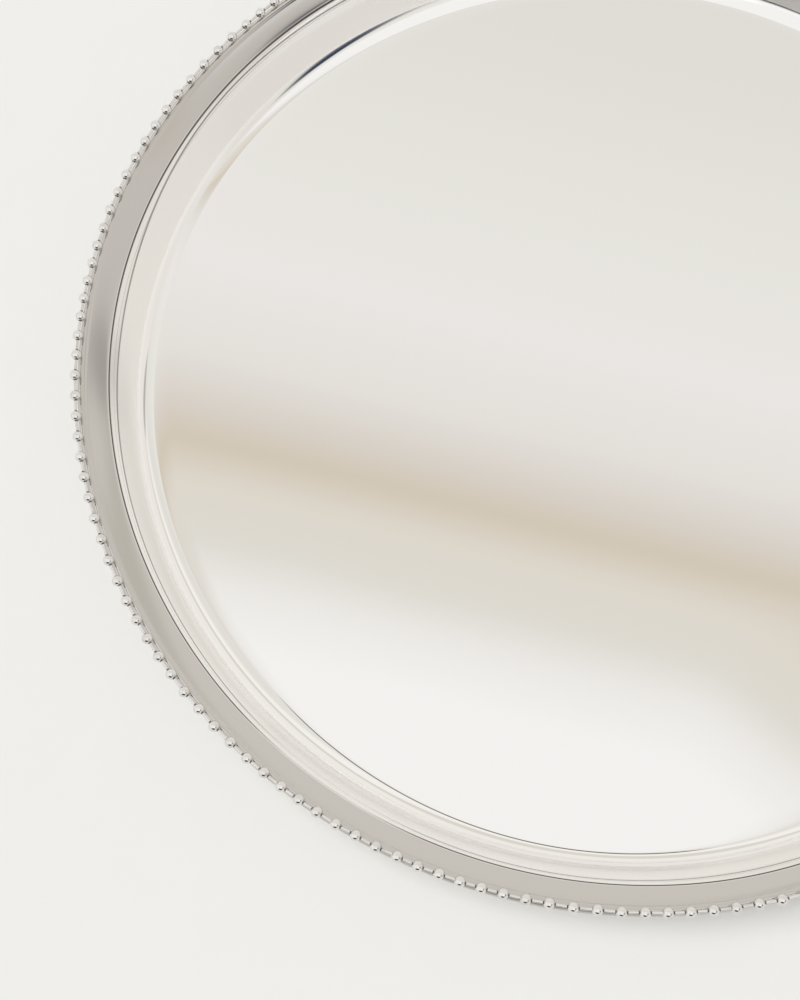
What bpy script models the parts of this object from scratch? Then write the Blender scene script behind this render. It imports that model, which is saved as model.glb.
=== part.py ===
"""Round stainless steel tray with a ball chain soldered along its rim.

The pan is one pressed sheet. From the middle outwards it is a flat base, a rounded corner, a
hollowed wall, a narrow steep step, a sloping flange and an edge rolled into a round hem. The
chain is polished balls joined by thin pins, and it lies on the outer shoulder of the hem.

Metres, +Z up. The origin is the middle of the underside, on the surface the tray stands on.
The steps below build a profile in (radius, height), and angles round the tray start at +X.
"""

import bpy
from math import acos, asin, atan2, cos, pi, radians, sin
from mathutils import Vector

# Pan
SHEET = 0.0010
BASE_RADIUS = 0.1426
CORNER_RADIUS = 0.0062
WALL_FOOT_SLOPE = radians(64)
WALL_HOLLOW_TURN = radians(3)
WALL_RISE = 0.0094
STEP_RUN = 0.0017
STEP_RISE = 0.0047
FLANGE_RUN = 0.0057
FLANGE_RISE = 0.0031
HEM_EYE_RADIUS = 0.0005
HEM_RADIUS = SHEET + HEM_EYE_RADIUS
HEM_CREASE_ANGLE = radians(160)
TURN_FACE_COUNT = 90
CORNER_FACE_COUNT = 5
WALL_FACE_COUNT = 2
HEM_FACE_COUNT = 9

# Chain
BALL_RADIUS = 0.0016
PIN_RADIUS = 0.00055
PIN_LENGTH = 0.0031
SOLDER_GAP = 0.0003
RUN_COUNT = 54
BALL_RING_COUNT = 5
BALL_SIDE_COUNT = 8

# Where each ball sits: a hand-laid chain rolls round the hem and its pitch is uneven
SEAT_ANGLE = radians(70.4)
SEAT_SWING = radians(8.7)
SEAT_SWING_PEAK = radians(216)
SEAT_LOBE_COUNT = 3
SEAT_SHAKE = radians(2)
SEAT_BEAT = 5.113
FIRST_BALL_ANGLE = radians(150.43)
DRIFT_LOBE_COUNTS = (3, 5, 6)
DRIFT_SHARES = (0.21, 0.135, 0.158)
DRIFT_PEAKS = (radians(117.6), radians(45.6), radians(52.6))
SHAKE_SHARE = 0.09
SHAKE_BEAT = 0.525

MERGE = 0.00001
PAN_COLOUR = (0.80, 0.78, 0.75)
PAN_ROUGHNESS = 0.08
CHAIN_COLOUR = (0.84, 0.82, 0.79)
CHAIN_ROUGHNESS = 0.12


def clear_scene():
    for old in list(bpy.data.objects):
        bpy.data.objects.remove(old, do_unlink=True)


def steel(name, colour, roughness):
    material = bpy.data.materials.new(name)
    material.use_nodes = True
    shader = material.node_tree.nodes["Principled BSDF"]
    shader.inputs["Base Color"].default_value = (*colour, 1)
    shader.inputs["Metallic"].default_value = 1
    shader.inputs["Roughness"].default_value = roughness
    return material


def arc(centre, radius, start, end, faces):
    """Points on a circle from the start angle to the end angle, both included."""
    turns = [start + (end - start) * i / faces for i in range(faces + 1)]
    return [(centre[0] + radius * cos(t), centre[1] + radius * sin(t)) for t in turns]


def upper_outline():
    """The upper side of the pan from the edge of the flat base to the flange's outer end."""
    corner_centre = (BASE_RADIUS, SHEET + CORNER_RADIUS)
    down = -pi / 2
    foot_turn = down + WALL_FOOT_SLOPE
    corner = arc(corner_centre, CORNER_RADIUS, down, foot_turn, CORNER_FACE_COUNT)
    head_slope = WALL_FOOT_SLOPE + WALL_HOLLOW_TURN
    wall_radius = WALL_RISE / (cos(WALL_FOOT_SLOPE) - cos(head_slope))
    foot = corner[-1]
    wall_centre = (
        foot[0] - wall_radius * sin(WALL_FOOT_SLOPE),
        foot[1] + wall_radius * cos(WALL_FOOT_SLOPE),
    )
    wall = arc(wall_centre, wall_radius, foot_turn, down + head_slope, WALL_FACE_COUNT)
    step_foot = wall[-1]
    step_head = (step_foot[0] + STEP_RUN, step_foot[1] + STEP_RISE)
    crease = (step_head[0] + FLANGE_RUN, step_head[1] + FLANGE_RISE)
    return corner + wall[1:] + [step_head, crease]


def hem_centre(crease):
    return (
        crease[0] - HEM_RADIUS * cos(HEM_CREASE_ANGLE),
        crease[1] - HEM_RADIUS * sin(HEM_CREASE_ANGLE),
    )


def lower_outline(upper):
    """The upper outline moved square to itself by the sheet's thickness, without its last point."""
    moved = []
    for i, point in enumerate(upper[:-1]):
        before = upper[i - 1] if i else (0, point[1])
        after = upper[i + 1]
        slope_in = atan2(point[1] - before[1], point[0] - before[0])
        slope_out = atan2(after[1] - point[1], after[0] - point[0])
        middle = (slope_in + slope_out) / 2
        reach = SHEET / cos((slope_out - slope_in) / 2)
        moved.append((point[0] + reach * sin(middle), point[1] - reach * cos(middle)))
    return moved


def pan_outline():
    """The whole section: the upper side outwards, round the hem, and the underside back."""
    upper = upper_outline()
    crease = upper[-1]
    across_flange = atan2(FLANGE_RISE, FLANGE_RUN) + pi / 2
    rise_over_centre = HEM_RADIUS * cos(HEM_CREASE_ANGLE - across_flange)
    under_crease_angle = across_flange + acos((rise_over_centre - SHEET) / HEM_RADIUS)
    hem = arc(
        hem_centre(crease), HEM_RADIUS, HEM_CREASE_ANGLE, under_crease_angle - 2 * pi, HEM_FACE_COUNT
    )
    underside = lower_outline(upper)[::-1]
    return [(0, SHEET)] + upper[:-1] + hem + underside + [(0, 0)]


def turned(name, outline, material, collection):
    """A closed solid swept round Z from an outline that starts and ends on the axis."""
    mesh = bpy.data.meshes.new(name)
    edges = [(i, i + 1) for i in range(len(outline) - 1)]
    mesh.from_pydata([(r, 0, z) for r, z in outline], edges, [])
    mesh.materials.append(material)
    piece = bpy.data.objects.new(name, mesh)
    collection.objects.link(piece)
    screw = piece.modifiers.new("Turn", "SCREW")
    screw.axis = "Z"
    screw.steps = TURN_FACE_COUNT
    screw.render_steps = TURN_FACE_COUNT
    screw.use_merge_vertices = True
    screw.merge_threshold = MERGE
    screw.use_smooth_shade = True
    return piece


def shake(number, beat):
    """A fixed uneven sequence between -1 and 1, one value for each ball."""
    return sin(beat * number) * cos(beat * number / pi)


class Chain:
    """Ball centres on a ring that leans on the hem, evenly spaced but for its drift and shake."""

    def __init__(self, hem):
        self.hem = hem
        self.seat = HEM_RADIUS + SOLDER_GAP + BALL_RADIUS
        ring_radius = hem[0] + self.seat * cos(SEAT_ANGLE)
        pitch = 2 * BALL_RADIUS + PIN_LENGTH
        self.ball_count = round(2 * pi * ring_radius / pitch)
        self.step = 2 * pi / self.ball_count

    def first_ball(self, run):
        return self.ball_count * run // RUN_COUNT

    def centre(self, number):
        number = number % self.ball_count
        even_turn = FIRST_BALL_ANGLE + self.step * number
        drifts = zip(DRIFT_LOBE_COUNTS, DRIFT_SHARES, DRIFT_PEAKS)
        moved = sum(share * cos(lobes * (even_turn - peak)) for lobes, share, peak in drifts)
        moved -= SHAKE_SHARE * shake(number, SHAKE_BEAT)
        turn = even_turn + self.step * moved
        swing = SEAT_SWING * cos(SEAT_LOBE_COUNT * (turn - SEAT_SWING_PEAK))
        seat_angle = SEAT_ANGLE - swing + SEAT_SHAKE * shake(number, SEAT_BEAT)
        radius = self.hem[0] + self.seat * cos(seat_angle)
        height = self.hem[1] + self.seat * sin(seat_angle)
        return Vector((radius * cos(turn), radius * sin(turn), height))


def run_rings(chain, run):
    """(centre, radius) of each ring along one run: its balls, and the pin after each ball."""
    first = chain.first_ball(run)
    after_last = chain.first_ball(run + 1)
    mouth = asin(PIN_RADIUS / BALL_RADIUS)
    turns = [mouth + (pi - 2 * mouth) * i / (BALL_RING_COUNT - 1) for i in range(BALL_RING_COUNT)]
    rings = []
    for number in range(first, after_last):
        centre = chain.centre(number)
        along = (chain.centre(number + 1) - chain.centre(number - 1)).normalized()
        for turn in turns:
            rings.append((centre - along * BALL_RADIUS * cos(turn), BALL_RADIUS * sin(turn)))
    last_ring = rings[-1][0]
    to_next = chain.centre(after_last) - last_ring
    pin_reach = to_next.length - BALL_RADIUS * cos(mouth) - SOLDER_GAP
    rings.append((last_ring + to_next.normalized() * pin_reach, PIN_RADIUS))
    return rings


def chain_run(name, rings, material, collection):
    """A filled tube whose radius swells to a ball and narrows to a pin."""
    curve = bpy.data.curves.new(name, "CURVE")
    curve.dimensions = "3D"
    curve.twist_mode = "Z_UP"
    curve.bevel_depth = BALL_RADIUS
    curve.bevel_resolution = BALL_SIDE_COUNT // 2 - 2
    curve.use_fill_caps = True
    spline = curve.splines.new("POLY")
    spline.points.add(len(rings) - 1)
    for point, (centre, radius) in zip(spline.points, rings):
        point.co = (*centre, 1)
        point.radius = radius / BALL_RADIUS
    spline.use_smooth = True
    curve.materials.append(material)
    collection.objects.link(bpy.data.objects.new(name, curve))


def main():
    clear_scene()
    tray = bpy.data.collections.new("beaded_tray")
    bpy.context.scene.collection.children.link(tray)
    turned("tray_pan", pan_outline(), steel("polished_sheet", PAN_COLOUR, PAN_ROUGHNESS), tray)

    chain = Chain(hem_centre(upper_outline()[-1]))
    chain_steel = steel("polished_chain", CHAIN_COLOUR, CHAIN_ROUGHNESS)
    for run in range(RUN_COUNT):
        chain_run(f"chain_run_{run + 1:02d}", run_rings(chain, run), chain_steel, tray)


main()
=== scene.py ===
"""Looks of the beaded round tray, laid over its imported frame.

The pan and the runs of ball chain are made again here as fine surfaces with their finish, and a
stage with a floor, a room to mirror and a camera is set round them. Metres, +Z up, in the
frame's own place.
"""

from math import acos, asin, cos, pi, radians, sin

import bpy
import numpy as np
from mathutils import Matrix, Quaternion, Vector


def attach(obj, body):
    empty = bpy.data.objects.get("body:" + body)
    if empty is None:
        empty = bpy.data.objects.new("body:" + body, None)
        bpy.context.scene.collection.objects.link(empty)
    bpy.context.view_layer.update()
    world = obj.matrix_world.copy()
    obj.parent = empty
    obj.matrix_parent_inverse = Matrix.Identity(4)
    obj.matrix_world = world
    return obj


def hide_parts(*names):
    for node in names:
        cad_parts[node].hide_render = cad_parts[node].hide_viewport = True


bl_info = {
    "name": "Beaded Round Tray",
    "version": (1, 0, 0),
    "blender": (4, 5, 0),
    "location": "3D View > Sidebar > Tray",
    "description": "A polished steel tray with a ball chain round its rim, on a plain stage",
    "category": "Add Mesh",
}

MM = 0.001

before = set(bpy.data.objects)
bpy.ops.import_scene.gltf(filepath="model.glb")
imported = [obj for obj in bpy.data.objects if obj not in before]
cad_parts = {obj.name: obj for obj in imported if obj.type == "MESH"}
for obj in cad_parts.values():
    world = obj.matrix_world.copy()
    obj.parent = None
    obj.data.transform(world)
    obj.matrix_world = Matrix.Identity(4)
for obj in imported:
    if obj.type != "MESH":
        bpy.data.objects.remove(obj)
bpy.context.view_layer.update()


def length_setting(name, description, default):
    return bpy.props.FloatProperty(
        name=name, description=description, default=default, unit="LENGTH", precision=5
    )


def angle_setting(name, description, default):
    return bpy.props.FloatProperty(
        name=name, description=description, default=radians(default), subtype="ANGLE"
    )


def share_setting(name, description, default):
    return bpy.props.FloatProperty(
        name=name, description=description, default=default, min=0, max=1, subtype="FACTOR"
    )


def colour_setting(name, description, default):
    return bpy.props.FloatVectorProperty(
        name=name, description=description, default=default, size=3, min=0, max=2, subtype="COLOR"
    )


def place_setting(name, description, default):
    return bpy.props.FloatVectorProperty(
        name=name, description=description, default=default, size=3, subtype="TRANSLATION"
    )


class PanSettings(bpy.types.PropertyGroup):
    sheet: length_setting("Sheet", "Thickness of the steel sheet", 0.0010)
    flat_radius: length_setting("Flat radius", "Where the base starts to rise", 0.1380)
    hem_radius: length_setting("Hem radius", "Radius of the rolled edge", 0.0015)
    crease_angle: angle_setting("Hem crease", "Where the flange meets the hem", 160)
    colour: colour_setting("Sheet colour", "What the polished sheet mirrors", (0.90, 0.885, 0.865))
    wall_colour: colour_setting("Wall colour", "What the hazy wall mirrors", (0.985, 0.975, 0.96))
    flange_colour: colour_setting(
        "Flange colour", "What the satin flange mirrors", (0.605, 0.58, 0.55)
    )
    # Painted shade: the underside is coloured darker than the top, as well as being rougher.
    shaded_under_colour: colour_setting(
        "Underside", "What the duller underside mirrors", (0.36, 0.35, 0.335)
    )
    # Painted shade: the dark tone of the step's grooves and of two ring lines.
    painted_shade_colour: colour_setting(
        "Groove colour", "Old polish left in a groove", (0.10, 0.085, 0.07)
    )
    polish: share_setting("Roughness", "Roughness of the mirror polish", 0.03)
    flange_polish: share_setting("Flange roughness", "Roughness of the flange", 0.14)
    wall_haze: share_setting("Wall haze", "Roughness that the wall has on top of the polish", 0.21)


class ChainSettings(bpy.types.PropertyGroup):
    ball_radius: length_setting("Ball radius", "Radius of a ball", 0.0016)
    mouth_radius: length_setting("Mouth radius", "Hole that a pin enters by", 0.00057)
    pin_radius: length_setting("Pin radius", "Radius of a pin", 0.00043)
    pin_length: length_setting("Pin length", "What shows of a pin between two balls", 0.0031)
    solder_gap: length_setting("Solder gap", "Room between a ball and the hem", 0.0003)
    seat_angle: angle_setting("Seat", "Mean angle of the balls round the hem", 70.4)
    colour: colour_setting("Chain colour", "What the chain mirrors", (0.80, 0.785, 0.76))
    # Painted shade inside a ball's mouth and on a pin where it enters.
    mouth_shade_colour: colour_setting("Mouth colour", "Inside a ball's mouth", (0.05, 0.04, 0.035))
    polish: share_setting("Roughness", "Roughness of the chain", 0.06)


class StageSettings(bpy.types.PropertyGroup):
    floor_colour: colour_setting("Floor", "Colour of the floor", (0.871, 0.863, 0.831))
    sky: share_setting("Sky", "Share of the light that is even", 0.26)
    lamp_height: angle_setting("Lamp height", "Angle of the lamp above the floor", 65)
    lamp_turn: angle_setting("Lamp turn", "Where the lamp stands round the tray, from +X", 225)
    lamp_spread: angle_setting("Lamp spread", "How wide the lamp looks from the tray", 50)
    lens: bpy.props.FloatProperty(
        name="Lens",
        description="Focal length on a 36 mm frame",
        default=59.4,
        subtype="DISTANCE_CAMERA",
    )
    camera_place: place_setting("Camera", "Where the camera stands", (0, -0.207568, 0.474882))
    camera_aim: place_setting("Aim", "Floor point at the picture's middle", (-0.0511, -0.05744, 0))
    camera_roll: angle_setting("Roll", "Turn of the camera about its axis", -0.245)


# Shader maths


class Value:
    """A socket that takes part in Python sums: every operation adds its Math node."""

    def __init__(self, graph, socket):
        self.graph = graph
        self.socket = socket

    def __add__(self, other):
        return self.graph.maths("ADD", self, other)

    def __sub__(self, other):
        return self.graph.maths("SUBTRACT", self, other)

    def __rsub__(self, other):
        return self.graph.maths("SUBTRACT", other, self)

    def __mul__(self, other):
        return self.graph.maths("MULTIPLY", self, other)

    def __truediv__(self, other):
        return self.graph.maths("DIVIDE", self, other)

    def __rtruediv__(self, other):
        return self.graph.maths("DIVIDE", other, self)

    def __pow__(self, other):
        return self.graph.maths("POWER", self, other)

    def __abs__(self):
        return self.graph.maths("ABSOLUTE", self)

    __radd__ = __add__
    __rmul__ = __mul__


class Graph:
    """The node tree of a material or a world, emptied and ready for new nodes."""

    def __init__(self, owner):
        owner.use_nodes = True
        self.tree = owner.node_tree
        self.tree.nodes.clear()

    def node(self, kind, settings=None, sockets=None, out=0):
        """Adds one node: its settings first, then its sockets' values or links."""
        node = self.tree.nodes.new(kind)
        for name, setting in (settings or {}).items():
            if name == "stops":
                self.set_stops(node.color_ramp.elements, setting)
            else:
                setattr(node, name, setting)
        for name, value in (sockets or {}).items():
            socket = node.inputs[name]
            if isinstance(value, Value):
                self.tree.links.new(value.socket, socket)
            elif socket.type == "RGBA":
                socket.default_value = (*value, 1)
            else:
                socket.default_value = value
        return Value(self, node.outputs[out]) if len(node.outputs) else node

    @staticmethod
    def set_stops(elements, stops):
        while len(elements) < len(stops):
            elements.new(1)
        for element, (position, colour) in zip(elements, stops):
            element.position = position
            element.color = (*colour, 1)

    def maths(self, operation, *terms):
        return self.node("ShaderNodeMath", {"operation": operation}, dict(enumerate(terms)))

    def split(self, vector):
        node = self.tree.nodes.new("ShaderNodeSeparateXYZ")
        self.tree.links.new(vector.socket, node.inputs[0])
        return [Value(self, output) for output in node.outputs]

    def mark(self, name):
        """A number that the surface carries on its points."""
        return self.node("ShaderNodeAttribute", {"attribute_name": name}, out=2)

    def smooth(self, value, low, high):
        """0 below low, 1 above high and a soft S between; the other way round if low > high."""
        sockets = {"Value": value, "From Min": low, "From Max": high}
        return self.node("ShaderNodeMapRange", {"interpolation_type": "SMOOTHSTEP"}, sockets)

    def band(self, value, centre, half_width, softness):
        """1 within half_width of the centre, falling softly to 0 over the softness."""
        return self.smooth(abs(value - centre), half_width + softness, half_width)

    def mix(self, share, first, second):
        settings = {"data_type": "RGBA"}
        return self.node("ShaderNodeMix", settings, {0: share, 6: first, 7: second}, out=2)

    def dot(self, vector, direction):
        sockets = {0: vector, 1: direction}
        return self.node("ShaderNodeVectorMath", {"operation": "DOT_PRODUCT"}, sockets, out=1)

    def noise(self, place, scale, detail=2.0, stretch=None):
        """Cloudy noise from 0 to 1, with scale in cells per metre."""
        if stretch:
            sockets = {0: place, 1: stretch}
            place = self.node("ShaderNodeVectorMath", {"operation": "MULTIPLY"}, sockets)
        return self.node(
            "ShaderNodeTexNoise", sockets={"Vector": place, "Scale": scale, "Detail": detail}
        )


def finished(name, make_nodes, *values):
    """A material whose Principled sockets are what make_nodes returns for its graph."""
    material = bpy.data.materials.new(name)
    graph = Graph(material)
    shader = graph.node("ShaderNodeBsdfPrincipled", sockets=make_nodes(graph, *values))
    graph.node("ShaderNodeOutputMaterial", sockets={"Surface": shader})
    return material


# Surfaces


def walked_line(start, stretches, first_slope):
    """Points, slopes and darkness of a line in (radius, height) that is given by its slope.

    Each stretch is (length in mm, slope in degrees at its end, rows, darkness at its end).
    Slope and darkness change evenly with the distance walked, so a stretch is a circular arc. A
    point is the start plus the running sum of the steps times (cos, sin) of their slope.
    """
    lengths, ends, rows, darks = (np.array(column) for column in zip(*stretches))
    knots = np.concatenate(([0.0], np.cumsum(lengths))) * MM
    slopes = np.radians(np.concatenate(([first_slope], ends)))
    parts = [
        np.linspace(knots[i], knots[i + 1], count, endpoint=False) for i, count in enumerate(rows)
    ]
    walked = np.concatenate(parts + [knots[-1:]])
    middles = (walked[1:] + walked[:-1]) / 2
    slope = np.interp(middles, knots, slopes)
    steps = np.diff(walked)[:, None] * np.stack([np.cos(slope), np.sin(slope)], axis=1)
    points = np.vstack([start, np.array(start) + np.cumsum(steps, axis=0)])
    darkness = np.interp(walked, knots, np.concatenate(([0.0], darks)))
    return points, np.interp(walked, knots, slopes), darkness


def circle_points(centre, radius, start, end, count):
    """Points at the centre plus the radius times (cos, sin) of evenly spaced turns."""
    turns = np.linspace(start, end, count)
    return np.array(centre) + radius * np.stack([np.cos(turns), np.sin(turns)], axis=1)


def closed_grid(rows, around, first_pole, last_pole):
    """Faces of rows of points round a closed form, with one point at each end.

    Point j of row i has number i * around + j, and its face runs to the next point and the next
    row. The poles come after the rows.
    """
    j = np.arange(around)
    after = (j + 1) % around
    i = np.arange(rows - 1)[:, None] * around
    quads = np.stack([i + j, i + after, i + around + after, i + around + j], axis=2)
    quads = quads.reshape(-1, 4)
    top = np.stack([after, j, np.full(around, first_pole)], axis=1)
    last = (rows - 1) * around
    bottom = np.stack([last + j, last + after, np.full(around, last_pole)], axis=1)
    return quads, np.concatenate([top, bottom])


def surface(name, points, quads, triangles, marks=None):
    """A smooth-shaded object from arrays, with the marks as numbers on its points."""
    mesh = bpy.data.meshes.new(name)
    mesh.from_pydata(points.tolist(), [], quads.tolist() + triangles.tolist())
    mesh.shade_smooth()
    for mark, values in (marks or {}).items():
        layer = mesh.attributes.new(mark, "FLOAT", "POINT")
        layer.data.foreach_set("value", values.astype(np.float32))
    mesh.validate()
    piece = bpy.data.objects.new(name, mesh)
    bpy.context.scene.collection.objects.link(piece)
    return piece


# Pan

TURN_COUNT = 540
HEM_ROWS = 15

# (length in mm, slope at the end in degrees, rows, how dark the painted shade is at its end)
RISE = [
    (4.85, 1.5, 4, 0),
    (0.45, 16.0, 5, 0),
    (1.75, 21.5, 4, 0),
    (1.78, 38.0, 7, 0),
    (1.28, 46.0, 5, 0),
    (0.75, 65.0, 8, 0),
    (10.65, 66.5, 10, 0),
]
STEP_WITH_GROOVES = [
    (0.18, 66.5, 1, 0),
    (0.12, 63.0, 1, 0),
    (0.22, 72.0, 2, 0),
    (1.25, 68.5, 2, 0),
    (0.10, 68.5, 1, 0.15),
    (0.06, 60.0, 1, 0.45),
    (0.12, 77.0, 2, 0.25),
    (0.06, 68.5, 1, 0),
    (2.05, 68.5, 3, 0),
    (0.30, 68.5, 1, 0.7),
    (0.20, 30.0, 3, 1),
    (0.24, 78.0, 3, 1),
    (0.14, 37.0, 2, 0.6),
    (0.12, 35.5, 1, 0),
]
PLAIN_STEP = [(4.50, 68.5, 6, 0), (0.69, 35.5, 5, 0)]
FLANGE = [(1.10, 31.5, 4, 0), (5.11, 27.5, 7, 0), (0.20, 27.0, 1, 0.04)]
FLANGE_UNDER = [(5.9, 28.0, 8, 0)]


# How far two ring lines of the pressed sheet stray from true circles: turns round the tray in
# degrees, then the base's edge and the step's head in mm. The last two lines give the radii
# between which each stray fades in and out
WANDER_TURNS = (100, 130, 145, 160, 175, 190, 210, 228, 241, 252, 270, 285, 300, 320)
BASE_EDGE_WANDER = (0, -0.4, -0.2, 0.3, 0.2, 0, 0, -0.4, -1.0, -0.4, 0.5, 0.9, 0.6, 0)
STEP_HEAD_WANDER = (0, 0.7, 0.7, 0.5, 0.05, 0, -0.25, -0.2, 0.15, 0.3, 0.15, 0.2, 0.45, 0)
BASE_EDGE_REACH = (0.1360, 0.1425, 0.1436, 0.1475)
STEP_HEAD_REACH = (0.1522, 0.1537, 0.1545, 0.1585)


def pan_outline(pan):
    """The pan's section from the axis over the top, round the hem and back underneath.

    The upper side is walked from the flat base to the crease. The hem is a circle that starts
    at the crease. The underside is a plainer walk, moved square to itself by the sheet.
    """
    start = (pan.flat_radius, pan.sheet)
    upper, _, dark = walked_line(start, RISE + STEP_WITH_GROOVES + FLANGE, 0)
    crease = upper[-1]
    hem_centre = crease - pan.hem_radius * np.array([cos(pan.crease_angle), sin(pan.crease_angle)])
    plain, slopes, _ = walked_line(start, RISE + PLAIN_STEP + FLANGE_UNDER, 0)
    under = plain + pan.sheet * np.stack([np.sin(slopes), -np.cos(slopes)], axis=1)
    across = radians(FLANGE[-1][1]) + pi / 2
    rise = pan.hem_radius * cos(pan.crease_angle - across)
    hem_end = across + acos((rise - pan.sheet) / pan.hem_radius) - 2 * pi
    hem = circle_points(hem_centre, pan.hem_radius, pan.crease_angle, hem_end, HEM_ROWS)
    flat = np.linspace(0, pan.flat_radius, 8)[1:-1]
    flat_top = np.stack([flat, np.full_like(flat, pan.sheet)], axis=1)
    flat_under = np.stack([flat[::-1], np.zeros_like(flat)], axis=1)
    top_side = np.vstack([flat_top, upper[:-1]])
    under_side = np.vstack([under[::-1], flat_under])
    outline = np.vstack([top_side, hem, under_side])
    marks = np.zeros((3, len(outline)))
    marks[0, : len(top_side) + len(hem)] = 1
    # The painted shade of the grooves, as a number on the points.
    marks[1, len(flat_top) : len(top_side) + 1] = dark
    marks[2] = marks[0] * np.interp(outline[:, 0], (0.1542, 0.1544), (0, 1))
    return outline, marks


def strayed(outline, around):
    """How far each outline point stands outside its true circle at each turn.

    Each ring line's stray is read off evenly between its turns and smoothed by a rounded
    window. A point takes the share of it that its radius has within the line's reach.
    """
    turn = np.arange(around) * (360 / around)
    window = np.hanning(31) / np.hanning(31).sum()
    total = np.zeros((len(outline), around))
    lines = ((BASE_EDGE_WANDER, BASE_EDGE_REACH), (STEP_HEAD_WANDER, STEP_HEAD_REACH))
    for wander, reach in lines:
        stray = np.interp(turn, WANDER_TURNS, wander, period=360)
        stray = np.convolve(np.concatenate([stray[-15:], stray, stray[:15]]), window, "valid")
        total += np.interp(outline[:, 0], reach, (0, 1, 1, 0))[:, None] * stray * MM
    return total


def turned_points(outline, around):
    """Every outline point (r, z) at each turn a: ((r + s) cos a, (r + s) sin a, z).

    The stray s is what the point stands outside its true circle at that turn.
    """
    turn = np.arange(around) * (2 * pi / around)
    radius = outline[:, :1] + strayed(outline, around)
    height = np.broadcast_to(outline[:, 1:], (len(outline), around))
    return np.stack([radius * np.cos(turn), radius * np.sin(turn), height], axis=2).reshape(-1, 3)


def ring_lines(graph, radius, turn):
    """Painted shade along two ring lines of the pan, and where the painted shade on the step fades.

    The base's edge line runs over a part of the ring only. The wall's head line goes all round
    and strays from its circle. Lengths are in mm.
    """
    past_front = turn + pi / 2
    edge_radius = 143.62 + past_front * 2.06 - past_front**2 * 2.95
    on_arc = graph.smooth(abs(past_front), 0.50, 0.40)
    # Painted shade: a dark line along the base's edge, over a part of the ring only.
    edge_line = graph.band(radius, edge_radius, 0.07, 0.10) * on_arc * 0.95
    past_back = graph.maths("WRAP", turn - pi / 2, 2 * pi, 0)
    head_radius = 152.2 + graph.smooth(past_back, radians(106), radians(68)) * 1.45
    head_radius = head_radius + graph.smooth(past_back, radians(142), radians(158)) * 0.45
    # The painted shade of the grooves and of the head line fades over this part of the ring.
    shade_fade = 1 - graph.band(past_back, radians(164), radians(4), radians(9)) * 0.8
    # Painted shade: a dark line along the wall's head, all round.
    head_line = graph.band(radius, head_radius, 0.06, 0.16) * shade_fade * 0.68
    return graph.maths("MAXIMUM", edge_line, head_line), shade_fade


def pan_finish(graph, pan):
    """Mirror polish on the base, hazy on the wall, satin on the flange and duller underneath.

    Shade is painted dark into the step's grooves and along two ring lines, light is painted into
    the hem's valley, and the underside's darker colour is painted shade.
    """
    place = graph.node("ShaderNodeTexCoord", out="Object")
    flattened = {0: place, 1: (1, 1, 0)}
    flat_place = graph.node("ShaderNodeVectorMath", {"operation": "MULTIPLY"}, flattened)
    radius = graph.node("ShaderNodeVectorMath", {"operation": "LENGTH"}, {0: flat_place}, out=1)
    radius = radius / MM
    x, y, _ = graph.split(place)
    top = graph.mark("top_side")
    on_flange = graph.mark("satin")
    on_wall = graph.smooth(radius, 146.4, 147.8) * graph.smooth(radius, 154.1, 153.8) * top

    # Painted light: the flange is made lighter in the hem's valley, to offset the chain's shade
    # there.
    hem_valley = graph.band(radius, 161.6, 0.15, 0.25)
    painted_light_valley = [share * 1.13 for share in pan.flange_colour]
    flange = graph.mix(hem_valley, pan.flange_colour, painted_light_valley)
    steel = graph.mix(on_wall, pan.colour, pan.wall_colour)
    steel = graph.mix(on_flange, steel, flange)
    # Painted shade: the underside takes a darker colour than the top.
    steel = graph.mix(top, pan.shaded_under_colour, steel)
    lines, shade_fade = ring_lines(graph, radius, graph.maths("ARCTAN2", y, x))
    # Painted shade: the grooves and the two ring lines are coloured dark.
    painted_shade_share = graph.maths("MAXIMUM", graph.mark("groove") * shade_fade, lines * top)
    colour = graph.mix(painted_shade_share, steel, pan.painted_shade_colour)

    haze = graph.noise(place, 35, 3)
    strokes = graph.noise(place, 900, 1, stretch=(0.05, 1, 1))
    roughness = pan.polish * (0.7 + haze * 0.6) + strokes * 0.004
    roughness = roughness + on_flange * (pan.flange_polish - pan.polish) + (1 - top) * 0.12
    roughness = roughness + on_wall * pan.wall_haze
    roughness = roughness + graph.smooth(radius, 161.7, 162.2) * top * 0.25
    waves = {"Height": graph.noise(place, 14, 1), "Strength": 0.15, "Distance": 0.00001}
    bump = graph.node("ShaderNodeBump", sockets=waves)
    return {"Base Color": colour, "Metallic": 1.0, "Roughness": roughness, "Normal": bump}


class TRAY_OT_pan(bpy.types.Operator):
    """Makes the pan as one turned sheet with its step, grooves and rolled hem"""

    bl_idname = "tray.pan"
    bl_label = "Make the pan"

    def execute(self, context):
        pan = context.scene.tray_pan
        outline, marks = pan_outline(pan)
        around = turned_points(outline, TURN_COUNT)
        poles = np.array([[0, 0, pan.sheet], [0, 0, 0]])
        points = np.vstack([around, poles])
        quads, triangles = closed_grid(len(outline), TURN_COUNT, len(around), len(around) + 1)
        marks = np.hstack([np.repeat(marks, TURN_COUNT, axis=1), [[1, 0], [0, 0], [0, 0]]])
        marks = dict(zip(("top_side", "groove", "satin"), marks))
        # The outline runs outwards over the top, so its faces are turned over to look outwards
        piece = surface("pan", points, quads[:, ::-1], triangles[:, ::-1], marks)
        piece.data.materials.append(finished("polished_sheet", pan_finish, pan))
        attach(piece, "root")
        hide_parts("tray_pan")
        return {"FINISHED"}


# Chain

RUN_COUNT = 54
BALL_SIDES = 12
BALL_BANDS = 6
# Painted shade on a pin fades out over this length from the ball's face.
PIN_SHADE_FADE = 0.00035
PIN_REACH = 0.00006

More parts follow.
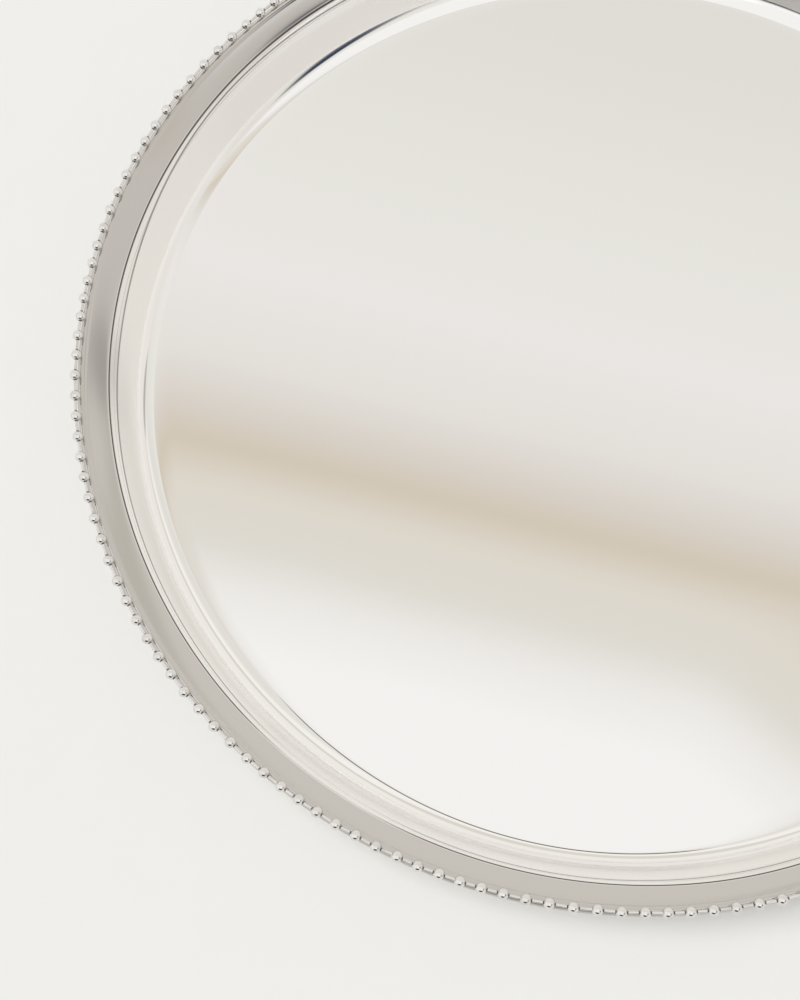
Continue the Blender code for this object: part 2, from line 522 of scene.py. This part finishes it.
SEAT_SWING = radians(8.7)
SEAT_SWING_PEAK = radians(216)
SEAT_LOBE_COUNT = 3
SEAT_SHAKE = radians(2)
SEAT_BEAT = 5.113
FIRST_BALL_ANGLE = radians(150.43)
DRIFT_LOBE_COUNTS = (3, 5, 6)
DRIFT_SHARES = (0.21, 0.135, 0.158)
DRIFT_PEAKS = (radians(117.6), radians(45.6), radians(52.6))
SHAKE_SHARE = 0.09
SHAKE_BEAT = 0.525
HEM_CENTRE = (0.161266, 0.021169)


def shake(number, beat):
    """A fixed uneven sequence between -1 and 1, one value for each ball."""
    return np.sin(beat * number) * np.cos(beat * number / pi)


def ball_centres(chain, hem_radius):
    """Centres of all the balls, one before the first to one after the last.

    Ball n stands at turn first + step * n, moved by a slow drift, which is a sum of waves
    round the ring, and by a small shake. It leans on the hem at the seat angle, which swings
    and shakes in the same way, so its radius and height are the hem's centre plus the seat's
    length times (cos, sin).
    """
    seat = hem_radius + chain.solder_gap + chain.ball_radius
    ring_radius = HEM_CENTRE[0] + seat * cos(chain.seat_angle)
    count = round(2 * pi * ring_radius / (2 * chain.ball_radius + chain.pin_length))
    step = 2 * pi / count
    number = np.arange(-1, count + 1) % count
    even_turn = FIRST_BALL_ANGLE + step * number
    drifts = zip(DRIFT_LOBE_COUNTS, DRIFT_SHARES, DRIFT_PEAKS)
    moved = sum(share * np.cos(lobes * (even_turn - peak)) for lobes, share, peak in drifts)
    moved = moved - SHAKE_SHARE * shake(number, SHAKE_BEAT)
    turn = even_turn + step * moved
    swing = SEAT_SWING * np.cos(SEAT_LOBE_COUNT * (turn - SEAT_SWING_PEAK))
    angle = chain.seat_angle - swing + SEAT_SHAKE * shake(number, SEAT_BEAT)
    radius = HEM_CENTRE[0] + seat * np.cos(angle)
    height = HEM_CENTRE[1] + seat * np.sin(angle)
    return np.stack([radius * np.cos(turn), radius * np.sin(turn), height], axis=1)


def ball_profile(chain):
    """(place along the axis, radius, darkness) of one ball's rings, from pin to pin.

    Between the mouths the ring at angle t from the axis stands at (-R cos t, R sin t). Each
    mouth closes on a pin, which carries painted shade where it enters, fading over a short reach.
    """
    mouth = asin(chain.mouth_radius / chain.ball_radius)
    turns = np.linspace(mouth, pi - mouth, BALL_BANDS + 1)
    along = -chain.ball_radius * np.cos(turns)
    radius = chain.ball_radius * np.sin(turns)
    face = along[-1]
    clear = face + PIN_SHADE_FADE
    pin = chain.pin_radius
    along = np.concatenate([[-clear, -face], along, [face, clear]])
    radius = np.concatenate([[pin, pin], radius, [pin, pin]])
    dark = np.zeros(len(along))
    dark[[1, -2]] = 1
    dark[[2, -3]] = 0.45
    dark[[0, -1]] = 0.3
    return along, radius, dark


def run_surface(centres, chain):
    """Rings of one run of balls and pins, with the two closing points.

    Ring k of ball i has its middle at centre i plus place k times the chain's direction there,
    and its points stand at radius k times (cos, sin) of their angle across that direction. The
    last pin ends just short of the next run's first ball.
    """
    along, radius, dark = ball_profile(chain)
    direction = centres[2:] - centres[:-2]
    direction /= np.linalg.norm(direction, axis=1, keepdims=True)
    middles = centres[1:-1, None] + direction[:, None] * along[:, None]
    last, following = middles[-1, -1], centres[-1]
    reach = following - last
    ends = np.array([-along[0], -along[1] + PIN_REACH])
    pin_end = last + reach * (1 - ends / np.linalg.norm(following - centres[-2]))[:, None]
    middles = np.vstack([middles.reshape(-1, 3)[2:], pin_end])
    radii = np.concatenate([np.tile(radius, len(direction))[2:], [chain.pin_radius] * 2])
    darks = np.concatenate([np.tile(dark, len(direction))[2:], [0.3, 1]])
    ways = np.vstack([np.repeat(direction, len(along), axis=0)[2:], direction[-1:], direction[-1:]])
    side = np.cross(ways, (0, 0, 1))
    side /= np.linalg.norm(side, axis=1, keepdims=True)
    up = np.cross(side, ways)
    angle = np.arange(BALL_SIDES) * (2 * pi / BALL_SIDES)
    across = side[:, None] * np.cos(angle)[:, None] + up[:, None] * np.sin(angle)[:, None]
    rings = middles[:, None] + radii[:, None, None] * across
    poles = np.vstack([middles[0], middles[-1]])
    points = np.vstack([rings.reshape(-1, 3), poles])
    quads, triangles = closed_grid(len(middles), BALL_SIDES, len(points) - 2, len(points) - 1)
    darkness = np.concatenate([np.repeat(darks, BALL_SIDES), [1, 1]])
    return points, quads, triangles, darkness


def chain_finish(graph, chain):
    """Bright tumbled polish, dulled a little in patches, with painted shade where a pin enters a
    ball.
    """
    place = graph.node("ShaderNodeTexCoord", out="Object")
    dark = graph.mark("mouth")
    patches = graph.noise(place, 260, 2)
    worn = [share * 0.90 for share in chain.colour]
    steel = graph.mix(graph.smooth(patches, 0.45, 0.7), chain.colour, worn)
    # Painted shade: mouths and pin ends are coloured dark.
    colour = graph.mix(graph.smooth(dark, 0.25, 0.8), steel, chain.mouth_shade_colour)
    roughness = chain.polish * (0.6 + patches * 0.8) + dark * 0.3
    dents = {"Height": graph.noise(place, 900, 1), "Strength": 0.2, "Distance": 0.00004}
    bump = graph.node("ShaderNodeBump", sockets=dents)
    return {"Base Color": colour, "Metallic": 1.0, "Roughness": roughness, "Normal": bump}


class TRAY_OT_chain(bpy.types.Operator):
    """Makes the runs of ball chain that lie on the hem's shoulder"""

    bl_idname = "tray.chain"
    bl_label = "Make the ball chain"

    def execute(self, context):
        chain = context.scene.tray_chain
        centres = ball_centres(chain, context.scene.tray_pan.hem_radius)
        count = len(centres) - 2
        finish = finished("polished_chain", chain_finish, chain)
        for run in range(RUN_COUNT):
            first, after = count * run // RUN_COUNT, count * (run + 1) // RUN_COUNT
            points, quads, triangles, darkness = run_surface(centres[first : after + 2], chain)
            node = f"chain_run_{run + 1:02d}"
            piece = surface(f"beads_{run + 1:02d}", points, quads, triangles, {"mouth": darkness})
            piece.data.materials.append(finish)
            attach(piece, "root")
            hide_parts(node)
        return {"FINISHED"}


# Stage

# Shapes in the mirrored room: the direction of the middle, two directions across it, half its
# length and width as sines, how soft its edge is and its tone
ROOM_SHAPES = [
    ((0.80, -0.26, 0.54), (0.081, -0.845, -0.530), (0.594, 0.468, -0.655), 0.28, 0.13, 0.6,
     (0.04, 0.055, 0.09)),
    ((0.25, -0.60, 0.76), (0.92, 0.39, 0.0), (0.30, -0.70, -0.65), 0.30, 0.22, 0.3,
     (1.25, 1.25, 1.25)),
    ((0.156, -0.95, 0.27), (0.988, 0.153, 0.0), (0.041, -0.267, -0.963), 0.50, 0.35, 0.4,
     (0.04, 0.035, 0.03)),
    ((0.533, 0.602, 0.595), (-0.394, -0.446, 0.804), (0.749, -0.663, 0.0), 0.11, 0.055, 0.6,
     (0.51, 0.495, 0.48)),
    ((0.0, 0.707, 0.707), (1.0, 0.0, 0.0), (0.0, -0.707, 0.707), 0.42, 0.09, 0.5,
     (0.99, 0.98, 0.955)),
    ((0.04, 0.805, 0.593), (1.0, 0.0, 0.0), (0.0, -0.593, 0.805), 0.55, 0.085, 0.5,
     (0.76, 0.745, 0.69)),
]


def toned_room(graph):
    """What the polished steel mirrors: a pale room whose ceiling meets a wall beyond the tray.

    A direction (x, y, z) meets the ceiling at side x / z and depth y / z. The tones follow the
    depth, because the seams between them run across the room.
    """
    way = graph.node("ShaderNodeTexCoord", out="Generated")
    x, y, z = graph.split(way)
    up = graph.maths("MAXIMUM", z, 0.02)
    side = x / up
    depth = y / up - side * 0.065
    near, far = 0.10, 0.85
    tones = [
        (0.205, (1.0, 1.0, 1.0)),
        (0.240, (0.93, 0.92, 0.905)),
        (0.268, (0.805, 0.793, 0.74)),
        (0.304, (0.80, 0.76, 0.69)),
        (0.330, (0.71, 0.64, 0.53)),
        (0.356, (0.766, 0.723, 0.672)),
        (0.390, (0.855, 0.84, 0.81)),
        (0.455, (0.914, 0.895, 0.888)),
        (0.540, (0.883, 0.876, 0.842)),
        (0.700, (0.822, 0.811, 0.78)),
    ]
    stops = [((position - near) / (far - near), tone) for position, tone in tones]
    bend = graph.smooth(side, 0.10, 0.19) * graph.smooth(depth, 0.32, 0.27) * 0.03
    share = (depth + bend - near) / (far - near)
    seams = graph.node("ShaderNodeValToRGB", {"stops": stops}, {"Fac": share})
    right = graph.mix(graph.smooth(side, 0.58, 0.74), (1.03, 1.03, 1.02), (0.83, 0.805, 0.77))
    plain = graph.mix(graph.smooth(depth, 0.10, 0.32), right, (0.87, 0.85, 0.825))
    ceiling = graph.mix(graph.smooth(side, 0.25, 1.2), seams, plain)
    wall = graph.mix(graph.smooth(x, 0.2, 0.8), (0.94, 0.92, 0.885), (0.895, 0.87, 0.83))
    room = graph.mix(graph.smooth(depth, 0.70, 0.95), ceiling, wall)
    for centre, along, across, half_length, half_width, soft, tone in ROOM_SHAPES:
        ahead = graph.smooth(graph.dot(way, centre), 0.3, 0.5)
        u = graph.dot(way, along) / half_length
        v = graph.dot(way, across) / half_width
        share = graph.smooth(u**2 + v**2, 1 + soft, 1 - soft) * ahead
        room = graph.mix(share, room, tone)
    return room


def stage_world(scene, stage):
    """A room to mirror, the floor's colour beyond the floor, and a faint even sky.

    Polished steel mirrors the room. The sky lights matt surfaces, and what steel throws back
    on them.
    """
    world = bpy.data.worlds.new("pale_room")
    scene.world = world
    graph = Graph(world)
    light = "ShaderNodeLightPath"
    sky = graph.node("ShaderNodeBackground", sockets={"Color": (1, 1, 1), "Strength": stage.sky})
    beyond = graph.node("ShaderNodeBackground", sockets={"Color": stage.floor_colour})
    mirrored = graph.node("ShaderNodeBackground", sockets={"Color": toned_room(graph)})
    by_camera = graph.node(light, out="Is Camera Ray")
    seen = graph.node("ShaderNodeMixShader", sockets={0: by_camera, 1: sky, 2: beyond})
    off_matt = graph.maths("MINIMUM", graph.node(light, out="Diffuse Depth"), 1)
    by_steel = graph.node(light, out="Is Glossy Ray") * (1 - off_matt)
    mixed = graph.node("ShaderNodeMixShader", sockets={0: by_steel, 1: seen, 2: mirrored})
    graph.node("ShaderNodeOutputWorld", sockets={"Surface": mixed})


def stage_lamp(scene, stage):
    """One very soft lamp high at the front left, which the steel doesn't mirror."""
    data = bpy.data.lights.new("soft_lamp", "SUN")
    data.angle = stage.lamp_spread
    height = stage.lamp_height
    data.energy = (1 - stage.sky) * pi / sin(height)
    lamp = bpy.data.objects.new("soft_lamp", data)
    lamp.visible_glossy = False
    turn = stage.lamp_turn
    towards = Vector((cos(turn) * cos(height), sin(turn) * cos(height), sin(height)))
    lamp.rotation_mode = "QUATERNION"
    lamp.rotation_quaternion = towards.to_track_quat("Z", "Y")
    scene.collection.objects.link(lamp)


def floor_finish(graph, colour):
    """Smooth matt board with the faintest mottling."""
    place = graph.node("ShaderNodeTexCoord", out="Object")
    mottling = graph.noise(place, 60, 3)
    paler = graph.mix(mottling, [c * 0.992 for c in colour], [min(c * 1.008, 1) for c in colour])
    return {"Base Color": paler, "Roughness": 0.9, "Specular IOR Level": 0.0}


def stage_floor(stage):
    """A flat square grid: point (i, j) stands at (i, j) times the spacing."""
    side, cells = 8.0, 4
    spots = np.linspace(-side / 2, side / 2, cells + 1)
    x, y = np.meshgrid(spots, spots)
    points = np.stack([x.ravel(), y.ravel(), np.zeros(x.size)], axis=1)
    corner = (np.arange(cells)[:, None] * (cells + 1) + np.arange(cells)).ravel()
    quads = np.stack([corner, corner + 1, corner + cells + 2, corner + cells + 1], axis=1)
    floor = surface("floor", points, quads, np.zeros((0, 3), int))
    floor.data.materials.append(finished("pale_floor", floor_finish, stage.floor_colour))


def stage_camera(scene, stage):
    data = bpy.data.cameras.new("camera")
    data.sensor_width = 36
    data.lens = stage.lens
    data.clip_start = 0.01
    camera = bpy.data.objects.new("camera", data)
    scene.collection.objects.link(camera)
    ahead = Vector(stage.camera_aim) - Vector(stage.camera_place)
    camera.rotation_mode = "QUATERNION"
    camera.location = stage.camera_place
    roll = Quaternion((0, 0, 1), stage.camera_roll)
    camera.rotation_quaternion = ahead.to_track_quat("-Z", "Y") @ roll
    scene.camera = camera


class TRAY_OT_stage(bpy.types.Operator):
    """Sets the floor, the room that the steel mirrors and the camera"""

    bl_idname = "tray.stage"
    bl_label = "Set the stage"

    def execute(self, context):
        scene = context.scene
        scene.view_settings.view_transform = "Standard"
        stage_world(scene, scene.tray_stage)
        stage_lamp(scene, scene.tray_stage)
        stage_floor(scene.tray_stage)
        stage_camera(scene, scene.tray_stage)
        return {"FINISHED"}


class TRAY_PT_sidebar(bpy.types.Panel):
    """The tray's settings and what makes its pieces"""

    bl_label = "Beaded round tray"
    bl_space_type = "VIEW_3D"
    bl_region_type = "UI"
    bl_category = "Tray"

    def draw(self, context):
        for group, operator in STEPS:
            box = self.layout.box()
            settings = getattr(context.scene, group)
            for name in settings.__annotations__:
                box.prop(settings, name)
            box.operator(operator)


STEPS = [("tray_pan", "tray.pan"), ("tray_chain", "tray.chain"), ("tray_stage", "tray.stage")]
SETTINGS = [PanSettings, ChainSettings, StageSettings]
CLASSES = SETTINGS + [TRAY_OT_pan, TRAY_OT_chain, TRAY_OT_stage, TRAY_PT_sidebar]


def register():
    for made in CLASSES:
        bpy.utils.register_class(made)
    for (group, _), settings in zip(STEPS, SETTINGS):
        setattr(bpy.types.Scene, group, bpy.props.PointerProperty(type=settings))


def unregister():
    for group, _ in STEPS:
        delattr(bpy.types.Scene, group)
    for made in reversed(CLASSES):
        bpy.utils.unregister_class(made)


def main():
    register()
    for _, operator in STEPS:
        area, name = operator.split(".")
        getattr(getattr(bpy.ops, area), name)()


if __name__ == "__main__":
    main()
